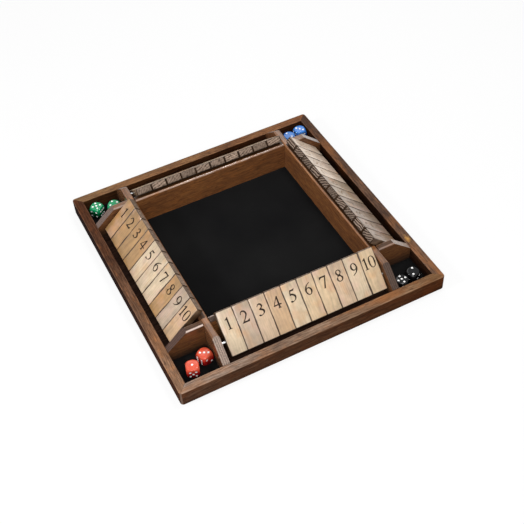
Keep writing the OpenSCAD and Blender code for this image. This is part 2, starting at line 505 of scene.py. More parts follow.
    def worn_edge(self, at: Place, colour: Wire) -> Wire:
        """Lightens the rounded edges: worn patches, and painted highlight lines along whole edges.

        Args:
            at: The place on the piece.
            colour: The colour so far.

        Returns:
            The colour with the worn edges and painted highlights on it.
        """
        tree = at.tree
        slant = add(tree, "Math MULTIPLY", at.face_y, at.face_z)
        steep = add(tree, "Math ABSOLUTE", slant)
        edge = add(tree, "MapRange", steep, 0.12, 0.42)
        rub = add(tree, "TexNoise", at.spot, Scale=45.0, Detail=3.0)
        bare = add(tree, "MapRange", rub, 0.35, 0.65, To_Max=self.edge_share)
        # painted highlights: one edge may carry a line along its whole length,
        # another beyond the laps, more on the left
        inside = add(tree, "Math LESS_THAN", at.out, TRAY_HALF)
        outside = add(tree, "Math GREATER_THAN", at.out, LAP_OUTER)
        inner = add(tree, "Math MULTIPLY", inside, 4.0 * self.rubbed_side)
        outer = add(tree, "MapRange", at.x, -LAP_OUTER, LAP_OUTER, 4.0 * self.rubbed_ends,
                    0.8 * self.rubbed_ends)
        facing = add(tree, "Math MULTIPLY_ADD", outside, outer, inner)
        highlight_line = add(tree, "Math MULTIPLY", facing, slant)
        most = add(tree, "Math MAXIMUM", bare, highlight_line)
        share = add(tree, "Math MULTIPLY", edge, most)
        return add(tree, "Mix RGBA", share, colour, linear(self.edge_tone))

    def corner_walls(self, at: Place, taken: Wire) -> tuple[Wire, Wire]:
        """Paints shade on a board beyond its laps, deepest near the felt; darkens the flat tops
        there.

        Args:
            at: The place on the piece.
            taken: The tint along the piece so far.

        Returns:
            The tint with the painted shade and the darker flat tops in it, and the share of
            the flat tops, which also lose their coat.
        """
        tree = at.tree
        past = add(tree, "MapRange", at.out, 117 * MM, 120 * MM)
        # painted shade, deepest near the felt
        low = add(tree, "MapRange", at.z, 4 * MM, 20 * MM, 0.2 * self.corner_level,
                  self.corner_level)
        level = add(tree, "Mix FLOAT", past, 1.0, low)
        flat = add(tree, "MapRange", at.face_z, 0.94, 0.99, To_Max=self.dry_ends)
        dark_matt_flat = add(tree, "Math MULTIPLY", flat, past)
        dull = add(tree, "Math MULTIPLY_ADD", dark_matt_flat, -0.6, 1.0)
        both = add(tree, "Math MULTIPLY", level, dull)
        return add(tree, "VectorMath MULTIPLY", taken, both), dark_matt_flat

    def soiled_top(self, at: Place, colour: Wire) -> tuple[Wire, Wire]:
        """Paints the tiles' shadow as a dark strip on the board's top that the tiles lean over.

        Args:
            at: The place on the piece.
            colour: The colour so far.

        Returns:
            The colour with the painted shadow strip on it, and the strip's share.
        """
        tree = at.tree
        outward = add(tree, "MapRange", at.y, -112.1 * MM, -111.3 * MM, 0.85, 0.0)
        inside = add(tree, "Math LESS_THAN", at.out, TRAY_HALF + 0.1 * MM)
        top = add(tree, "Math GREATER_THAN", at.face_z, 0.3)
        both = add(tree, "Math MULTIPLY", outward, inside)
        share = add(tree, "Math MULTIPLY", both, top)
        return add(tree, "Mix RGBA", share, colour, linear("#130a05")), share

    def end_grain(self, at: Place, hairs: Wire, colour: Wire) -> Wire:
        """Greys the faces that are sawn across the grain and stripes them with their rings.

        Args:
            at: The place on the piece.
            hairs: The hairs of the grain.
            colour: The colour so far.

        Returns:
            The colour with the end grain on it.
        """
        tree = at.tree
        ending = add(tree, "MapRange", at.end, 0.35, 0.6, interpolation_type="SMOOTHSTEP")
        # rings 2.6 mm apart
        across = add(tree, "Math MULTIPLY", at.y, 2 * math.pi / (2.6 * MM))
        bent = add(tree, "Math MULTIPLY_ADD", hairs, 5.0, across)
        ring = add(tree, "Math SINE", bent)
        both = add(tree, "Math MULTIPLY_ADD", ring, 0.12, hairs)
        lined = add(tree, "MapRange", both, 0.33, 0.67, 0.45, 1.4)
        right = add(tree, "Math GREATER_THAN", at.face_x, 0.0)
        own = add(tree, "Mix RGBA", right, linear(self.end_tones[0]), linear(self.end_tones[1]))
        grey = add(tree, "VectorMath MULTIPLY", own, lined)
        return add(tree, "Mix RGBA", ending, colour, grey)

    def joint_line(self, at: Place, colour: Wire) -> Wire:
        """Draws the dark hairline of a glued mitre or a lap.

        Args:
            at: The place on the piece.
            colour: The colour so far.

        Returns:
            The colour with the line on it.
        """
        tree = at.tree
        if self.mitred:
            gap = add(tree, "Math SUBTRACT", at.out, add(tree, "Math ABSOLUTE", at.y))
            width = 0.45 * MM
        else:
            middle = add(tree, "Math SUBTRACT", at.out, LAP_MIDDLE)
            # the line is drawn just outside the crossing board, which is 9 mm thick
            gap = add(tree, "Math SUBTRACT", add(tree, "Math ABSOLUTE", middle), 4.6 * MM)
            width = 0.4 * MM
        near = add(tree, "Math ABSOLUTE", gap)
        line = add(tree, "MapRange", near, 0.0, width, 0.6, 0.0)
        return add(tree, "Mix RGBA", line, colour, linear("#170d08"))


@dataclass(frozen=True)
class Blank:
    """A place on a tile's blank, the blank's own values, and its grain."""

    tree: NodeTree
    place: Wire
    x: Wire
    y: Wire
    z: Wire
    lot: Wire
    ends: Wire
    seed: Wire
    patch: Node
    swayed: Wire
    streak: Wire
    across: Wire

    @classmethod
    def of(cls, tree: NodeTree) -> "Blank":
        """Adds the nodes that find the place and draw the grain.

        Args:
            tree: The material's node tree.

        Returns:
            The blank. Its patch is a broad noise, its streak a fine one along the grain, and its
            across runs square to the growth rings.
        """
        place = add(tree, "Attribute", attribute_name="local").outputs["Vector"]
        lot = add(tree, "Attribute", attribute_name="lot").outputs["Fac"]
        ends = add(tree, "Attribute", attribute_name="ends").outputs["Fac"]
        seed = add(tree, "Math MULTIPLY", lot, 60.0)
        patch = add(tree, "TexNoise", place, W=seed, Scale=55.0, Detail=2.0, noise_dimensions="4D")
        drift = add(tree, "VectorMath SUBTRACT", patch.outputs["Color"], (0.5, 0.5, 0.5))
        swayed = add(tree, "VectorMath MULTIPLY_ADD", drift, (0.004, 0.0, 0.004), place)
        # streaks 1.4 mm wide and some 20 mm long
        streak_at = add(tree, "VectorMath MULTIPLY", swayed, (360.0, 25.0, 360.0))
        streak = add(tree, "TexNoise", streak_at, W=seed, Scale=1.0, Detail=3.0, Roughness=0.6,
                     noise_dimensions="4D")
        # the growth rings are tilted differently in each blank
        tilt = add(tree, "Math MULTIPLY_ADD", lot, 1.2, 0.35)
        rolled = add(tree, "VectorRotate", swayed, Angle=tilt, Axis=(0.0, 1.0, 0.0))
        across = add(tree, "SeparateXYZ", rolled).outputs["X"]
        axes = add(tree, "SeparateXYZ", place).outputs
        return cls(tree, place, *axes, lot, ends, seed, patch, swayed, streak, across)


@dataclass(frozen=True)
class TileWood:
    """Pale softwood, sawn into blanks, sanded and sealed with a thin clear lacquer.

    Each blank keeps its own natural colour, its growth rings run as faint lines down the face, and
    the sawn ends, left bare of lacquer, show the rings as slanting grey-brown stripes.
    """

    name: str = "tile_softwood_sanded"
    lacquer: float = 0.6
    ring_pitch: float = 2.3
    stripe_pitch: float = 3.0
    middle: float = 8.7
    half_long: float = 26.8
    end_light: str = "#a38d7d"
    end_mid: str = "#867262"
    end_dark: str = "#2c2019"
    scorch: str = "#100a06"
    orange: str = "#c98e54"
    rose: str = "#cfa596"
    grain: str = "#a37c52"
    knot: str = "#6e5a48"
    soil: str = "#3d2815"

    def material(self) -> Material:
        """Builds the tile wood's material.

        Returns:
            The material, which reads each tile's own place, colour and lot.
        """
        made, tree, shader = new_material(self.name)
        blank = Blank.of(tree)
        along = add(tree, "Math SUBTRACT", blank.y, self.middle * MM)
        ending = add(tree, "MapRange", add(tree, "Math ABSOLUTE", along),
                     (self.half_long - 0.25) * MM, self.half_long * MM)
        out = add(tree, "Math ABSOLUTE", blank.x)
        colour = self.spotted(blank, self.face(blank))
        colour = add(tree, "Mix RGBA", ending, colour, self.sawn_end(blank))
        # painted shade: dark outlines round the sawn ends, for the gaps and shadow lines
        end_outline_share = add(tree, "Math MULTIPLY", self.scorched(blank, out), ending)
        colour = add(tree, "Mix RGBA", end_outline_share, colour, linear(self.scorch))
        # painted shade along the long edges, where the gaps between the tiles fall dark
        colour = add(tree, "Mix RGBA", self.handled(blank, out), colour, linear(self.soil))
        dull = add(tree, "MapRange", blank.streak, 0.3, 0.7, 0.52, 0.4)
        bump = add(tree, "Bump", Height=blank.streak, Strength=0.3, Distance=0.1 * MM)
        plug(tree, shader, Base_Color=colour, Roughness=dull, Normal=bump,
             Specular_IOR_Level=0.1 + 0.65 * self.lacquer, Coat_Weight=self.lacquer,
             Coat_Roughness=0.16)
        return made

    def face(self, blank: Blank) -> Wire:
        """Draws a blank's sanded face: rings, streaks, mottles, and painted shade darkening its
        top end.

        Args:
            blank: The place on the blank.

        Returns:
            The colour.
        """
        tree = blank.tree
        tone = add(tree, "Attribute", attribute_name="tone").outputs["Vector"]
        pushed = add(tree, "Attribute", attribute_name="pushed").outputs["Fac"]
        phase = add(tree, "Math MULTIPLY", blank.across, 2 * math.pi / (self.ring_pitch * MM))
        ring = add(tree, "Math SINE", phase)
        mixed = add(tree, "Math MULTIPLY_ADD", ring, 0.05, blank.streak)
        # mottles some 8 mm wide
        mottle = add(tree, "TexNoise", blank.place, W=blank.seed, Scale=130.0, Detail=3.0,
                     noise_dimensions="4D")
        mottled = add(tree, "Math MULTIPLY_ADD", mottle, 0.7, mixed)
        level = add(tree, "MapRange", mottled, 0.6, 1.1, 0.72, 1.16)
        # painted shade: the face darkens toward its top end
        top_end_shade = add(tree, "MapRange", blank.y, 14 * MM, 35 * MM, 1.0, pushed)
        both = add(tree, "Math MULTIPLY", level, top_end_shade)
        return add(tree, "VectorMath MULTIPLY", tone, both)

    def spotted(self, blank: Blank, colour: Wire) -> Wire:
        """Lays resin-rich orange, rosy and dark-grained patches and a few knots over a face.

        Args:
            blank: The place on the blank.
            colour: The colour so far.

        Returns:
            The colour with the patches and knots.
        """
        tree = blank.tree
        hues = add(tree, "SeparateColor", blank.patch.outputs["Color"])
        for value, low, high, share, hue in (
                (hues.outputs["Green"], 0.52, 0.72, 0.45, self.orange),
                (hues.outputs["Blue"], 0.52, 0.70, 0.4, self.rose),
                (blank.streak, 0.56, 0.72, 0.6, self.grain)):
            much = add(tree, "MapRange", value, low, high, To_Max=share)
            colour = add(tree, "Mix RGBA", much, colour, linear(hue))
        # a knot or a grey bruise some 5 mm wide and 12 mm long on a few blanks
        colour, _ = marks(tree, colour, self.knot, blank.swayed, (80.0, 34.0, 80.0), (0.64, 0.76),
                          0.5, W=blank.seed, Detail=3.0, noise_dimensions="4D")
        return colour

    def sawn_end(self, blank: Blank) -> Wire:
        """Draws a sawn end: bunched rings as stripes, on blanks of lighter and darker wood.

        Args:
            blank: The place on the blank.

        Returns:
            The colour of the end.
        """
        tree = blank.tree
        bunched = add(tree, "Math MULTIPLY", blank.across, 2 * math.pi / (self.stripe_pitch * MM))
        bent = add(tree, "Math MULTIPLY_ADD", blank.patch, 14.0, bunched)
        band = add(tree, "Math SINE", bent)
        sharp = add(tree, "MapRange", blank.ends, 0.65, 0.9, 0.32, 0.11)
        uneven = add(tree, "Math MULTIPLY_ADD", blank.lot, 1.1, 0.4)
        strong = add(tree, "Math MULTIPLY", sharp, uneven)
        stripe = add(tree, "Math MULTIPLY_ADD", band, strong, blank.streak)
        striped = add(tree, "ValToRGB", stripe,
                      stops=[(0.24, self.end_dark), (0.5, self.end_mid), (0.75, self.end_light)])
        own = add(tree, "Math MULTIPLY_ADD", blank.lot, 0.6, 0.7)
        level = add(tree, "Math MULTIPLY", own, blank.ends)
        return add(tree, "VectorMath MULTIPLY", striped, level)

    def scorched(self, blank: Blank, out: Wire) -> Wire:
        """Finds where the sawn ends' edges are painted black, as the shade of the gaps between
        tiles.

        Args:
            blank: The place on the blank.
            out: The distance from the tile's middle line.

        Returns:
            The share of the painted shade, as if all of the tile were its ends.
        """
        tree = blank.tree
        more = add(tree, "Math MULTIPLY_ADD", blank.lot, 0.5 * MM, out)
        rough_out = add(tree, "Math MULTIPLY_ADD", blank.streak, 1.2 * MM, more)
        sides = add(tree, "MapRange", rough_out, 10.0 * MM, 10.4 * MM)
        thin = add(tree, "Math ABSOLUTE", blank.z)
        rough_thin = add(tree, "Math MULTIPLY_ADD", blank.streak, 1.0 * MM, thin)
        faces = add(tree, "MapRange", rough_thin, 3.9 * MM, 4.6 * MM, To_Max=0.7)
        return add(tree, "Math MAXIMUM", sides, faces)

    def handled(self, blank: Blank, out: Wire) -> Wire:
        """Finds the painted shade of the gaps along a tile's long edges, more in some places.

        Args:
            blank: The place on the blank.
            out: The distance from the tile's middle line.

        Returns:
            The share of the painted shade.
        """
        tree = blank.tree
        waver = add(tree, "Math MULTIPLY_ADD", blank.patch, 2.4 * MM, out)
        rim = add(tree, "MapRange", waver, 10.6 * MM, 11.2 * MM)
        gap_shade_patches = add(tree, "MapRange", blank.patch, 0.35, 0.6, 0.6, 0.95)
        return add(tree, "Math MULTIPLY", rim, gap_shade_patches)


@dataclass(frozen=True)
class BurntNumeral:
    """The floor of an engraved numeral: wood scorched and stained dark by the engraving.

    Where painted glare washes a numeral out, it is only a darker shade of its own tile.
    """

    name: str
    dark: str
    light: str
    # True for the numerals paled as painted glare, which take their tile's tone
    rubbed: bool = False

    def material(self) -> Material:
        """Builds the engraved numeral's material.

        Returns:
            The material, slightly uneven as scorched wood is.
        """
        made, tree, shader = new_material(self.name)
        place = add(tree, "Attribute", attribute_name="local").outputs["Vector"]
        # scorch marks about 0.8 mm wide
        mottle = add(tree, "TexNoise", place, Scale=1200.0, Detail=2.0)
        colour = add(tree, "ValToRGB", mottle, stops=[(0.3, self.dark), (0.75, self.light)])
        if self.rubbed:
            tone = add(tree, "Attribute", attribute_name="tone").outputs["Vector"]
            colour = add(tree, "VectorMath MULTIPLY", colour, tone)
        bump = add(tree, "Bump", Height=mottle, Strength=0.3, Distance=0.1 * MM)
        plug(tree, shader, Base_Color=colour, Roughness=0.62, Normal=bump, Specular_IOR_Level=0.2)
        return made


@dataclass(frozen=True)
class WoolFelt:
    """Wool felt, fulled and dyed black: a dead matt nap with a faint cold sheen."""

    name: str = "wool_felt_fulled_black"
    base: str = "#0c0c0d"
    worn: str = "#171717"

    def material(self) -> Material:
        """Builds the felt's material.

        Returns:
            The material, with its nap drawn 0.6 mm wide so that it shows.
        """
        made, tree, shader = new_material(self.name)
        where = add(tree, "TexCoord").outputs["Object"]
        nap = add(tree, "TexNoise", where, Scale=1600.0, Detail=3.0, Roughness=0.7)
        cloud = add(tree, "TexNoise", where, Scale=9.0, Detail=3.0)
        both = add(tree, "Math MULTIPLY_ADD", nap, 0.55, cloud)
        colour = add(tree, "ValToRGB", both, stops=[(0.55, self.base), (1.0, self.worn)])
        bump = add(tree, "Bump", Height=nap, Strength=0.5, Distance=0.25 * MM)
        plug(tree, shader, Base_Color=colour, Roughness=0.95, Normal=bump, Specular_IOR_Level=0.05,
             Sheen_Weight=0.04, Sheen_Roughness=0.5, Sheen_Tint=linear("#b4b4b8"))
        return made


@dataclass(frozen=True)
class DrawnSteel:
    """Steel rod, drawn and left bright, with fine rings from the straightening rolls."""

    name: str = "steel_rod_drawn_bright"
    colour: str = "#f4f5f6"

    def material(self) -> Material:
        """Builds the rods' material.

        Returns:
            The material, with drawing marks of about 0.3 mm.
        """
        made, tree, shader = new_material(self.name)
        where = add(tree, "TexCoord").outputs["Object"]
        marks = add(tree, "TexNoise", where, Scale=2800.0, Detail=2.0)
        dull = add(tree, "MapRange", marks, 0.3, 0.7, 0.2, 0.36)
        tint = add(tree, "ValToRGB", marks, stops=[(0.2, "#dcdee0"), (0.7, self.colour)])
        plug(tree, shader, Base_Color=tint, Roughness=dull, Metallic=1.0)
        return made


@dataclass(frozen=True)
class CastResin:
    """Acrylic resin, cast and tumbled to a high polish: clear or solid under a wet gloss."""

    name: str
    deep: str
    mid: str
    bright: str
    clearness: float
    glow: float = 0.0
    gloss: float = 0.5
    foot: float = 4.3
    size: float = 16.0

    def material(self) -> Material:
        """Builds the die's material.

        Returns:
            The material, with painted shade near the felt and painted light on the top, and soft
            clouds of colour a few millimetres wide.
        """
        made, tree, shader = new_material(self.name)
        where = add(tree, "TexCoord").outputs["Object"]
        cloud = add(tree, "TexNoise", where, Scale=170.0, Detail=2.0)
        axes = add(tree, "SeparateXYZ", where)
        # painted light and shade: darker toward the felt, brighter toward the top
        painted_top_light = add(tree, "MapRange", axes.outputs["Z"], (self.foot + 0.25 * self.size) * MM,
                     (self.foot + self.size) * MM, To_Max=0.8)
        mixed = add(tree, "Math MULTIPLY_ADD", cloud, 0.7, painted_top_light)
        colour = add(tree, "ValToRGB", mixed,
                     stops=[(0.3, self.deep), (0.7, self.mid), (1.0, self.bright)])
        plug(tree, shader, Base_Color=colour, Roughness=0.09, IOR=1.49,
             Transmission_Weight=self.clearness, Specular_IOR_Level=self.gloss)
        if self.glow:
            plug(tree, shader, Subsurface_Weight=self.glow, Subsurface_Radius=(1.0, 1.0, 1.0),
                 Subsurface_Scale=3 * MM)
        return made


@dataclass(frozen=True)
class PipPaint:
    """Enamel paint, dabbed into the pips and wiped flush: white and slightly uneven."""

    name: str = "enamel_paint_white"

    def material(self) -> Material:
        """Builds the pips' material.

        Returns:
            The material, with brush marks of about 0.5 mm.
        """
        made, tree, shader = new_material(self.name)
        where = add(tree, "TexCoord").outputs["Object"]
        dab = add(tree, "TexNoise", where, Scale=1800.0, Detail=1.0)
        colour = add(tree, "ValToRGB", dab, stops=[(0.3, "#e9e9e6"), (0.7, "#f7f7f5")])
        plug(tree, shader, Base_Color=colour, Roughness=0.35)
        return made


# Outlines of the numerals 0 to 8 in a box one high, as points right and up. Each outline is a
# closed row; a point that ends in c is a corner, and the line runs smoothly through the others. A
# nine is a six turned upside down.
NUMERALS = {
    "0": "0,.5 .25,1 .5,.5 .25,0 | .105,.5 .25,.955 .395,.5 .25,.045",
    "1": ".03,0c .03,.03c .11,.06c .11,.83c 0,.79c 0,.825c .18,1c .21,1c .21,.06c .29,.03c "
         ".29,0c",
    "2": ".02,.72c .06,.88 .24,1 .47,.74 .36,.42 .14,.125c .4,.125 .5,.2c .545,.2c .5,0c 0,0c "
         "0,.03c .28,.42 .355,.72 .21,.91 .1,.84 .06,.72c",
    "3": ".03,.8c .22,1 .43,.79 .3,.57c .48,.31 .17,0 0,.05 .02,.12 .1,.115 .2,.055 .365,.27 "
         ".13,.5c .13,.535c .32,.75 .19,.91 .07,.79c",
    "4": "0,.25c 0,.3c .37,1c .43,1c .43,.335c .57,.335c .57,.25c .43,.25c .43,.05c .49,.025c "
         ".49,0c .27,0c .27,.025c .33,.05c .33,.25c | .065,.335c .33,.335c .33,.83c",
    "5": ".05,.55c .14,.985c .42,.985c .455,1.03c .48,1.02c .41,.87c .17,.87c .14,.69c "
         ".31,.63 .47,.34 .15,0 0,.03 0,.1 .09,.11 .18,.055 .365,.29 .21,.54",
    "6": ".44,1c .12,.76 0,.34 .245,0 .49,.31 .29,.62 .135,.545c .21,.77 .455,.965c | "
         ".105,.42 .235,.555 .38,.29 .26,.05 .125,.2",
    "7": ".03,1c .5,1c .5,.96c .245,0c .15,0c .405,.875c .13,.875 .04,.78c 0,.79c",
    "8": ".255,1 .445,.78 .34,.555 .485,.26 .235,0 0,.24 .13,.49 .04,.765 | .25,.95 .36,.785 "
         ".265,.6 .135,.8 | .235,.05 .38,.215 .19,.45 .095,.25",
}


def outlines(digit: str) -> list[list[tuple[float, float, bool]]]:
    """Reads the outlines of a numeral.

    Args:
        digit: The numeral, from 0 to 9.

    Returns:
        Closed rows of points: how far right and up each lies, and whether it is a corner.
    """
    if digit == "9":
        return [[(0.49 - x, 1 - y, corner) for x, y, corner in line] for line in outlines("6")]
    return [[(*map(float, point.rstrip("c").split(",")), point.endswith("c"))
             for point in line.split()] for line in NUMERALS[digit].split("|")]


@dataclass
class TileRows:
    """The forty numbered tiles, each a sanded block with an engraved numeral and a bore."""

    width: float = 20.7
    thick: float = 8.8
    number_end: float = 36.0
    foot_end: float = 18.6
    edge: float = 0.6
    bore_r: float = 1.58
    rod_out: float = 141.5
    rod_z: float = 28.4
    wall_in: float = 25.5
    wall_up: float = 13.6
    wall_round: float = 2.5
    stop_gap: float = 0.3
    tray_half: float = 109.5
    gaps: tuple[float, ...] = (0.4, 1.1, 0.5, 0.4)
    pushes: tuple[float, ...] = (0.6, 0.5, -0.3, -0.5)
    numeral_high: float = 14.7
    numeral_wide: float = 1.2
    numeral_foot: float = 11.8
    numeral_bold: float = 0.13
    numeral_over: float = 0.5
    numeral_deep: float = 0.5
    worn_deep: float = 0.12
    letter_space: float = 0.12
    tones: dict[Side, tuple[Tone, ...]] = field(default_factory=lambda: {
        Side.FRONT: (Tone.CREAM, Tone.ASH, Tone.ROSE, Tone.HONEY, Tone.CREAM, Tone.STRAW,
                     Tone.STRAW, Tone.ROSE, Tone.CREAM, Tone.STRAW),
        # painted glare: the right row's tones are greyed and grow paler toward the back
        Side.RIGHT: (Tone.HAZE, Tone.HAZE, Tone.HAZE, Tone.HAZE, Tone.ASH, Tone.ASH,
                     Tone.PALE, Tone.PALE, Tone.PALE, Tone.PALE),
        Side.BACK: (Tone.ROSE, Tone.STRAW, Tone.HONEY, Tone.ROSE, Tone.STRAW, Tone.ASH,
                    Tone.HONEY, Tone.STRAW, Tone.ROSE, Tone.STRAW),
        Side.LEFT: (Tone.AMBER, Tone.AMBER, Tone.AMBER, Tone.AMBER, Tone.CREAM, Tone.CREAM,
                    Tone.CREAM, Tone.AMBER, Tone.ASH, Tone.HONEY),
    })
    ends: tuple[float, ...] = (1.0, 0.62, 0.9, 1.1)
    # how far the painted shade darkens each row's top ends
    pushed: tuple[float, ...] = (0.80, 0.94, 0.80, 0.78)
    wood: TileWood = TileWood()
    sawn: TileWood = TileWood("tile_softwood_sawn_ends", 0.0)
    inked: BurntNumeral = BurntNumeral("numeral_engraved_scorched", "#1f1610", "#3b2c21")
    # the right row's numerals, paled as painted glare
    rubbed: BurntNumeral = BurntNumeral("numeral_engraved_rubbed", "#bdb8b3", "#d2cfcb", True)

    @property
    def open_angle(self) -> float:
        """The angle above the level at which a tile leans on the tray wall, in radians."""
        slant = math.hypot(self.wall_in, self.wall_up)
        clear = self.thick / 2 + self.wall_round + self.stop_gap
        return math.atan2(self.wall_up, self.wall_in) + math.asin(clear / slant)

    def numeral_tool(self, number: int, deep: float, floor: Material) -> Mesh:
        """Builds the cutter for one number, standing in the face's upper half.

        Args:
            number: The tile's number, from 1 to 10.
            deep: How far it reaches into the face, in millimetres.
            floor: The material that it leaves behind.

        Returns:
            A closed mesh.
        """
        line = bpy.data.curves.new("numeral", "CURVE")
        line.dimensions = "2D"
        line.fill_mode = "BOTH"
        line.resolution_u = 5
        line.extrude = (deep + self.numeral_over) / 2 * MM
        line.offset = self.numeral_bold * MM
        size = self.numeral_high * MM
        digits = str(number)
        wide = [max(point[0] for point in outlines(digit)[0]) for digit in digits]
        start = -(sum(wide) + self.letter_space * (len(digits) - 1)) / 2
        for digit, width in zip(digits, wide):
            for outline in outlines(digit):
                spline = line.splines.new("BEZIER")
                spline.bezier_points.add(len(outline) - 1)
                spline.use_cyclic_u = True
                for (right, up, corner), point in zip(outline, spline.bezier_points):
                    point.co = ((start + right) * size * self.numeral_wide, up * size, 0)
                    kind = "VECTOR" if corner else "AUTO"
                    point.handle_left_type = point.handle_right_type = kind
            start += width + self.letter_space
        holder = placed("numeral", line)
        depsgraph = bpy.context.evaluated_depsgraph_get()
        shape = bmesh.new()
        shape.from_mesh(holder.evaluated_get(depsgraph).to_mesh())
        bpy.data.objects.remove(holder)
        bmesh.ops.remove_doubles(shape, verts=shape.verts, dist=1e-6)
        up = self.thick / 2 + (self.numeral_over - deep) / 2
        bmesh.ops.translate(shape, verts=shape.verts,
                            vec=(0, self.numeral_foot * MM, up * MM))
        bmesh.ops.recalc_face_normals(shape, faces=shape.faces)
        for face in shape.faces:
            face.material_index = 0
        return mesh_of(shape, "numeral", [floor])

    def blank(self) -> Mesh:
        """Builds a tile without its number, about its rod's axis.

        Returns:
            The eased block with its bore.
        """
        long = self.number_end + self.foot_end
        shape = bmesh.new()
        bmesh.ops.create_cube(shape, size=1.0)
        bmesh.ops.scale(shape, verts=shape.verts,
                        vec=(self.width * MM, long * MM, self.thick * MM))
        bmesh.ops.translate(shape, verts=shape.verts,
                            vec=(0, (self.number_end - self.foot_end) / 2 * MM, 0))
        bmesh.ops.bevel(shape, geom=shape.edges[:], offset=self.edge * MM, segments=3,
                        profile=0.5, material=-1, affect="EDGES")
        for face in shape.faces:
            face.material_index = int(abs(face.normal.y) > 0.5)
        block = mesh_of(shape, "blank", [bpy.data.materials[self.wood.name],
                                         bpy.data.materials[self.sawn.name]])
        drill = bmesh.new()
        bmesh.ops.create_cone(drill, cap_ends=True, segments=32, radius1=self.bore_r * MM,
                              radius2=self.bore_r * MM, depth=(self.width + 2) * MM,
                              matrix=Matrix.Rotation(math.pi / 2, 4, "Y"))
        return carve(block, mesh_of(drill, "drill", [bpy.data.materials[self.wood.name]]))

    def place(self, side: Side, number: int) -> Matrix:
        """Finds where a tile stands.

        Args:
            side: The side of the game.
            number: The tile's number.

        Returns:
            The matrix from the tile's own frame to its place.
        """
        gap = self.gaps[side.value]
        row = 10 * (self.width + gap) - gap
        room = self.tray_half - self.stop_gap - row / 2
        x = self.pushes[side.value] * room + (number - 5.5) * (self.width + gap)
        return (Matrix.Rotation(side.turn, 4, "Z")
                @ Matrix.Translation(Vector((x, -self.rod_out, self.rod_z)) * MM)
                @ Matrix.Rotation(self.open_angle, 4, "X"))

    def build(self) -> None:
        """Builds all forty tiles and puts each in its place."""
        self.wood.material()
        self.sawn.material()
        floors = {False: self.inked.material(), True: self.rubbed.material()}
        for number in range(1, 11):
            protos = {}
            # the pale, shallow numerals stand for painted glare
            for worn, floor in floors.items():
                deep = self.worn_deep if worn else self.numeral_deep
                proto = carve(self.blank(), self.numeral_tool(number, deep, floor))
                smooth(proto, 40)
                protos[worn] = proto
            for side in Side:
                # painted glare: the right row's numerals are pale and shallow,
                # washed out nearly to their tile's colour
                mesh = protos[side is Side.RIGHT].copy()
                tone = linear(self.tones[side][number - 1].value)[:3]
                lot = (number * 0.377 + side.value * 0.219) % 1.0
                count = len(mesh.vertices)
                for word, kind, values in (
                        ("local", "VECTOR", [c for v in mesh.vertices for c in v.co]),
                        ("tone", "VECTOR", tone * count), ("lot", "VALUE", [lot] * count),
                        ("ends", "VALUE", [self.ends[side.value]] * count),
                        ("pushed", "VALUE", [self.pushed[side.value]] * count)):
                    sort = "FLOAT_VECTOR" if kind == "VECTOR" else "FLOAT"
                    held = mesh.attributes.new(word, sort, "POINT")
                    held.data.foreach_set(kind.lower(), values)
                mesh.transform(self.place(side, number))
                node = f"tile_{side.word}_{number}"
                piece(f"number_{node}", mesh, node, node)
            log.info("tiles %d: %d faces each", number, len(protos[False].polygons))


@dataclass
class FeltLinings:
    """The felt on the floor of the tray and of the four corner compartments."""

    tray_side: float = 218.7
    near: float = 118.65
    far: float = 165.85
    low: float = 3.3
    high: float = 4.3
    swell: float = 0.06
    fuzz: float = 0.03
    soft: float = 0.3
    cloth: WoolFelt = WoolFelt()

    def sheet(self, name: str, centre: Vector, side: float, cells: int, node: str) -> None:
        """Builds one square of felt, cut by hand and glued down.

        Args:
            name: The piece's name.
            centre: The middle of the square, in millimetres.
            side: The length of its sides, in millimetres.
            cells: The number of cells along a side.
            node: The CAD node that it replaces.
        """
        shape = bmesh.new()
        bmesh.ops.create_grid(shape, x_segments=cells, y_segments=cells, size=side / 2 * MM)
        bmesh.ops.translate(shape, verts=shape.verts,
                            vec=Vector((centre.x, centre.y, self.low)) * MM)
        top = bmesh.ops.extrude_face_region(shape, geom=shape.faces[:])["geom"]
        raised = [v for v in top if isinstance(v, bmesh.types.BMVert)]
        for vert in raised:
            lift = noise.noise(vert.co * 60) * self.swell + noise.noise(vert.co * 400) * self.fuzz
            vert.co.z = (self.high - (self.swell + self.fuzz) + lift) * MM
        bmesh.ops.recalc_face_normals(shape, faces=shape.faces)
        rim = [e for e in shape.edges
               if all(v.co.z > (self.low + self.high) / 2 * MM for v in e.verts)
               and sum(f.normal.z > 0.5 for f in e.link_faces) == 1]
        bmesh.ops.bevel(shape, geom=rim, offset=self.soft * MM, segments=2, profile=0.5,
                        material=-1, affect="EDGES")
        mesh = mesh_of(shape, name, [bpy.data.materials[self.cloth.name]])
        smooth(mesh)
        made = piece(name, mesh, "frame", node)
        log.info("%s: %d faces", name, len(mesh.polygons))

    def build(self) -> None:
        """Builds the tray's felt and the four corner felts."""
        self.cloth.material()
        self.sheet("tray_felt", Vector((0, 0, 0)), self.tray_side, 72, "felt_tray")
        middle = (self.near + self.far) / 2
        for side in Side:
            centre = Matrix.Rotation(side.turn, 3, "Z") @ Vector((middle, middle, 0))
            self.sheet(f"corner_felt_{side.value + 1}", centre, self.far - self.near, 18,
                       "felt_corners")


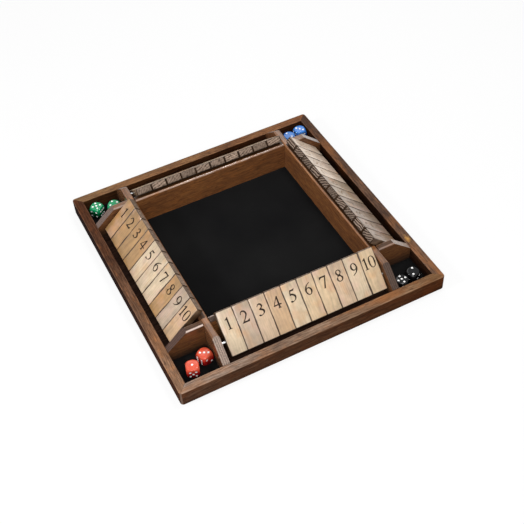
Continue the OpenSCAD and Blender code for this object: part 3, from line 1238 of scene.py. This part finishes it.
@dataclass
class Dice:
    """The eight round-cornered dice, a pair in each corner compartment."""

    size: float = 16.0
    ball: float = 0.675
    pip_step: float = 0.22
    pip_d: float = 2.8
    pip_deep: float = 0.4
    pip_cap: float = 1.0
    edge_power: float = 14.0
    blend: float = 0.35
    floor: float = 4.3
    colours: dict[str, tuple[CastResin, Slot]] = field(default_factory=lambda: {
        "green": (CastResin("acrylic_resin_cast_green", "#021a10", "#056a3e", "#22ab70",
                            0.35, 0.2), Slot.GREEN),
        "blue": (CastResin("acrylic_resin_cast_blue", "#061a4c", "#1252bc", "#4392f0",
                           0.35, 0.2), Slot.BLUE),
        "red": (CastResin("acrylic_resin_cast_red", "#62060f", "#d0211d", "#fb6648",
                          0.3, 0.25), Slot.RED),
        "black": (CastResin("acrylic_resin_cast_black", "#030304", "#070708", "#0c0c0e", 0.0, 0.0,
                            0.3), Slot.BLACK),
    })
    turns: dict[str, tuple[float, float]] = field(default_factory=lambda: {
        "green": (40, 51), "blue": (-2, -23), "red": (18, -18), "black": (47, -68)})
    numbers: dict[str, tuple[int, int, int]] = field(default_factory=lambda: {
        "green_1": (3, 6, 5), "green_2": (6, 2, 4), "blue_1": (2, 6, 3), "blue_2": (3, 1, 2),
        "red_1": (1, 2, 3), "red_2": (3, 5, 1), "black_1": (4, 1, 5), "black_2": (3, 1, 2)})
    paint: PipPaint = PipPaint()

    def body(self, resin: Material) -> Mesh:
        """Builds a die without pips: a cube that a ball has rounded off, with soft edges.

        Args:
            resin: The die's material.

        Returns:
            The closed body about the origin.
        """
        shape = bmesh.new()
        bmesh.ops.create_cube(shape, size=2.0)
        bmesh.ops.subdivide_edges(shape, edges=shape.edges[:], cuts=23, use_grid_fill=True)
        half = self.size / 2
        ball = self.size * self.ball
        for vert in shape.verts:
            ray = vert.co.normalized()
            total = sum(abs(c) ** self.edge_power for c in ray)
            cube = half / total ** (1 / self.edge_power)
            soft = -self.blend * math.log(math.exp(-cube / self.blend)
                                          + math.exp(-ball / self.blend))
            vert.co = ray * soft * MM
        return mesh_of(shape, "die", [resin])

    def pips(self, faces: tuple[int, int, int]) -> Mesh:
        """Builds the tool that sinks all twenty-one pips.

        Args:
            faces: The numbers on the +X, -Y and +Z faces.

        Returns:
            The balls that are cut out of a die.
        """
        half = self.size / 2
        ball = ((self.pip_d / 2) ** 2 + self.pip_deep ** 2) / (2 * self.pip_deep)
        step = self.size * self.pip_step
        tool = bmesh.new()
        # opposite faces add up to seven
        turned = [(faces[2], 0, "X"), (7 - faces[2], 2, "X"), (faces[0], 1, "Y"),
                  (7 - faces[0], -1, "Y"), (faces[1], 1, "X"), (7 - faces[1], -1, "X")]
        for number, quarters, axis in turned:
            turn = Matrix.Rotation(quarters * math.pi / 2, 4, axis)
            spots = [(0, 0)] if number % 2 else []
            spots += [(-1, 1), (1, -1)] if number > 1 else []
            spots += [(1, 1), (-1, -1)] if number > 3 else []
            spots += [(0, 1), (0, -1)] if number == 6 else []
            for x, y in spots:
                at = Vector((x * step, y * step, half - self.pip_deep + ball)) * MM
                made = bmesh.ops.create_uvsphere(tool, u_segments=24, v_segments=36,
                                                 radius=ball * MM)["verts"]
                parts = set(made)
                for vert in made:
                    parts.update(vert.link_edges, vert.link_faces)
                cap = bmesh.ops.bisect_plane(tool, geom=list(parts), clear_outer=True,
                                             plane_co=(0, 0, (self.pip_cap - ball) * MM),
                                             plane_no=(0, 0, 1))["geom"]
                rim = {e for e in cap if isinstance(e, bmesh.types.BMEdge) and e.is_valid
                       and e.is_boundary}
                bmesh.ops.holes_fill(tool, edges=list(rim), sides=0)
                left = [v for v in made if v.is_valid]
                left += [v for e in rim for v in e.verts if v not in left]
                bmesh.ops.transform(tool, verts=list(set(left)),
                                    matrix=turn @ Matrix.Translation(at))
        return mesh_of(tool, "pips", [bpy.data.materials[self.paint.name]])

    def build(self) -> None:
        """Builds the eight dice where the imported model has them."""
        self.paint.material()
        for name, faces in self.numbers.items():
            colour, order = name.split("_")
            resin, slot = self.colours[colour]
            held = bpy.data.materials.get(resin.name) or resin.material()
            low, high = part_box(f"die_{name}")
            turn = math.radians(self.turns[colour][int(order) - 1])
            mesh = carve(self.body(held), self.pips(faces))
            smooth(mesh, 30)
            middle = (low + high) / 2
            middle.z = (self.floor + self.size / 2) * MM
            mesh.transform(Matrix.Translation(middle) @ Matrix.Rotation(turn, 4, "Z"))
            piece(f"resin_die_{name}", mesh, f"die_{name}", f"die_{name}")
            log.info("die %s: %d faces", name, len(mesh.polygons))


@dataclass(frozen=True)
class Stain:
    """One rail's colours: browns, painted shade on upright faces, change toward the ends, patches.
    """

    dark: str
    mid: str
    light: str
    sides: str
    run: tuple[tuple[float, ...], ...]
    run_bend: float
    patches: float


@dataclass
class Cabinet:
    """The wooden case: four mitred rails, four crossing boards, the base panel and the rods."""

    def build(self) -> None:
        """Gives each part of the case its finish."""
        # the fourth colour of each rail is the painted shade of its upright faces
        stains = {
            Side.FRONT: Stain("#56443b", "#7c6353", "#9e8676", "#9a806e",
                              ((1.05, 1.15, 1.23), (0.78, 0.63, 0.40)), 1.0, 0.4),
            Side.RIGHT: Stain("#3b2c25", "#563f32", "#765844", "#8c7a6e",
                              ((1.14, 1.16, 1.15), (0.60, 0.62, 0.68)), 1.0, 0.45),
            Side.BACK: Stain("#4c3425", "#6e4e35", "#8e6842", "#8c7a6e",
                             ((0.93, 0.81, 0.84), (1.09, 1.23, 1.34)), 1.0, 0.15),
            Side.LEFT: Stain("#3d2a20", "#563f30", "#735542", "#6c5240",
                             ((0.54, 0.40, 0.35), (2.22, 2.35, 2.34)), 2.0, 0.1)}
        ends = {Side.FRONT: ("#4a3228", "#a39186"), Side.RIGHT: ("#4c3a30", "#6d584b"),
                Side.BACK: ("#b0a6a2", "#6a574f"), Side.LEFT: ("#6a564a", "#927e71")}
        # edge tone and share, then highlight lines on the tray side and beyond the laps: the
        # near-white tones and those lines are painted highlights
        edges = {Side.FRONT: ("#ffeae0", 0.1, 0.5, -0.3), Side.RIGHT: ("#b08468", 0.35, 0.0, 0.0),
                 Side.BACK: ("#fff8f2", 0.3, -1.0, 0.0), Side.LEFT: ("#b08468", 0.35, 0.0, 0.0)}
        knots = {Side.RIGHT: (-103.0, -171.5, 0.0)}
        for side, stain in stains.items():
            rail = StainedWood(
                name=f"walnut_stained_oiled_rail_{side.word}", dark=stain.dark, mid=stain.mid,
                light=stain.light, fleck="#a86c3e", flecks=0.3, side_tint=stain.sides,
                run=stain.run, run_bend=stain.run_bend, patches=stain.patches, turn=side.turn,
                hair_width=0.45, mitred=True, knot=knots.get(side, ()))
            dress(f"frame_rail_{side.word}", rail.material())
            # the boards' upright faces are darkened as painted shade too
            board = StainedWood(
                name=f"walnut_stained_oiled_board_{side.word}",
                dark="#563312", mid="#7f502a", light="#9f6b38", fleck="#a8682f",
                side_tint="#eee6dc", turn=side.turn, lapped=side.value % 2 == 0,
                roughness=0.3, gloss=0.3, edge_tone=edges[side][0], edge_share=edges[side][1],
                rubbed_side=edges[side][2], rubbed_ends=edges[side][3],
                dry_ends=float(side is Side.FRONT), ring_share=0.02, hair_width=0.5,
                end_tones=ends[side], oil=0.8, divider=True)
            dress(f"divider_board_{side.word}", board.material())
        panel = StainedWood(
            name="birch_ply_stained_base", dark="#20130c", mid="#33211a", light="#4a3226",
            fleck="#4a2f20", flecks=0.2, gloss=0.1, roughness=0.6)
        dress("base_panel", panel.material())
        dress("tile_rods", DrawnSteel().material())
        log.info("case: %d rails and boards, the base panel and the rods dressed", 2 * len(stains))


@dataclass
class Studio:
    """The white table, the soft lamps and the camera at the photograph's angle."""

    target: tuple[float, float, float] = (0.0012, -0.0297, 0.0)
    distance: float = 1.2106
    azimuth: float = -24.647
    elevation: float = 48.418
    roll: float = -3.6325
    lens: float = 65.0
    ambient: float = 0.42
    mirrored: float = 0.8

    def camera(self) -> None:
        """Stands the camera where the photograph was taken."""
        turn = math.radians(self.azimuth)
        rise = math.radians(self.elevation)
        back = Vector((math.sin(turn) * math.cos(rise), -math.cos(turn) * math.cos(rise),
                       math.sin(rise)))
        view = bpy.data.cameras.new("camera")
        view.lens = self.lens
        view.sensor_width = 36.0
        view.clip_start = 0.01
        made = placed("camera", view)
        level = (-back).to_track_quat("-Z", "Y").to_matrix().to_4x4()
        made.matrix_world = (Matrix.Translation(Vector(self.target) + back * self.distance)
                             @ level @ Matrix.Rotation(math.radians(self.roll), 4, "Z"))
        bpy.context.scene.camera = made

    def table(self) -> None:
        """Lays the pale table that catches the shadow."""
        shape = bmesh.new()
        bmesh.ops.create_grid(shape, x_segments=1, y_segments=1, size=4.0)
        made = bpy.data.materials.new("table_matt_laminate")
        tree = empty_tree(made)
        path = add(tree, "LightPath")
        seen = add(tree, "Math MAXIMUM", path.outputs["Is Camera Ray"],
                   path.outputs["Is Glossy Ray"])
        seen = add(tree, "Math MAXIMUM", seen, path.outputs["Is Transmission Ray"])
        share = add(tree, "Math MULTIPLY", seen, 0.84)
        matt = add(tree, "BsdfDiffuse", linear("#ececec"))
        white = add(tree, "Emission", (1, 1, 1, 1), 1.0)
        both = add(tree, "MixShader", share, matt, white)
        add(tree, "OutputMaterial", both)
        placed("table", mesh_of(shape, "table", [made]))

    def world(self) -> None:
        """Surrounds the scene with plain white, softer where it lights the object."""
        made = bpy.data.worlds.new("studio")
        bpy.context.scene.world = made
        tree = empty_tree(made)
        path = add(tree, "LightPath")
        mirrored = add(tree, "Math MAXIMUM", path.outputs["Is Glossy Ray"],
                       path.outputs["Is Transmission Ray"])
        soft = add(tree, "MapRange", mirrored, To_Min=self.ambient, To_Max=self.mirrored)
        level = add(tree, "Mix FLOAT", path.outputs["Is Camera Ray"], soft, 1.0)
        sky = add(tree, "Background", (1, 1, 1, 1), level)
        add(tree, "OutputWorld", sky)

    def lamp(self, name: str, place: tuple[float, float, float], size: float,
             power: float) -> None:
        """Hangs one square softbox that faces the middle of the game.

        Args:
            name: The lamp's name.
            place: Where it hangs, in metres.
            size: The length of its sides, in metres.
            power: Its power in watts.
        """
        light = bpy.data.lights.new(name, "AREA")
        light.size = size
        light.energy = power
        made = placed(name, light)
        aim = (Vector((0, 0, 0)) - Vector(place)).to_track_quat("-Z", "Y").to_matrix().to_4x4()
        made.matrix_world = Matrix.Translation(place) @ aim

    def build(self) -> None:
        """Sets up the camera, the table, the world and the lamps."""
        self.camera()
        self.table()
        self.world()
        self.lamp("softbox_left", (-1.2, 0.0, 0.97), 0.16, 8.0)
        self.lamp("softbox_front", (-0.40, -1.07, 1.26), 0.8, 13.0)
        self.lamp("softbox_over", (0.36, 0.0, 1.25), 0.25, 4.5)
        self.lamp("softbox_back", (0.35, 0.78, 0.95), 0.6, 2.0)
        log.info("studio ready")


def main() -> None:
    """Builds the camera and stage, then every dressed piece."""
    logging.basicConfig(level=logging.INFO, format="%(message)s")
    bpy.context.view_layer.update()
    bpy.context.scene.view_settings.view_transform = "Standard"
    Studio().build()
    Cabinet().build()
    FeltLinings().build()
    TileRows().build()
    Dice().build()


if __name__ == "__main__":
    main()
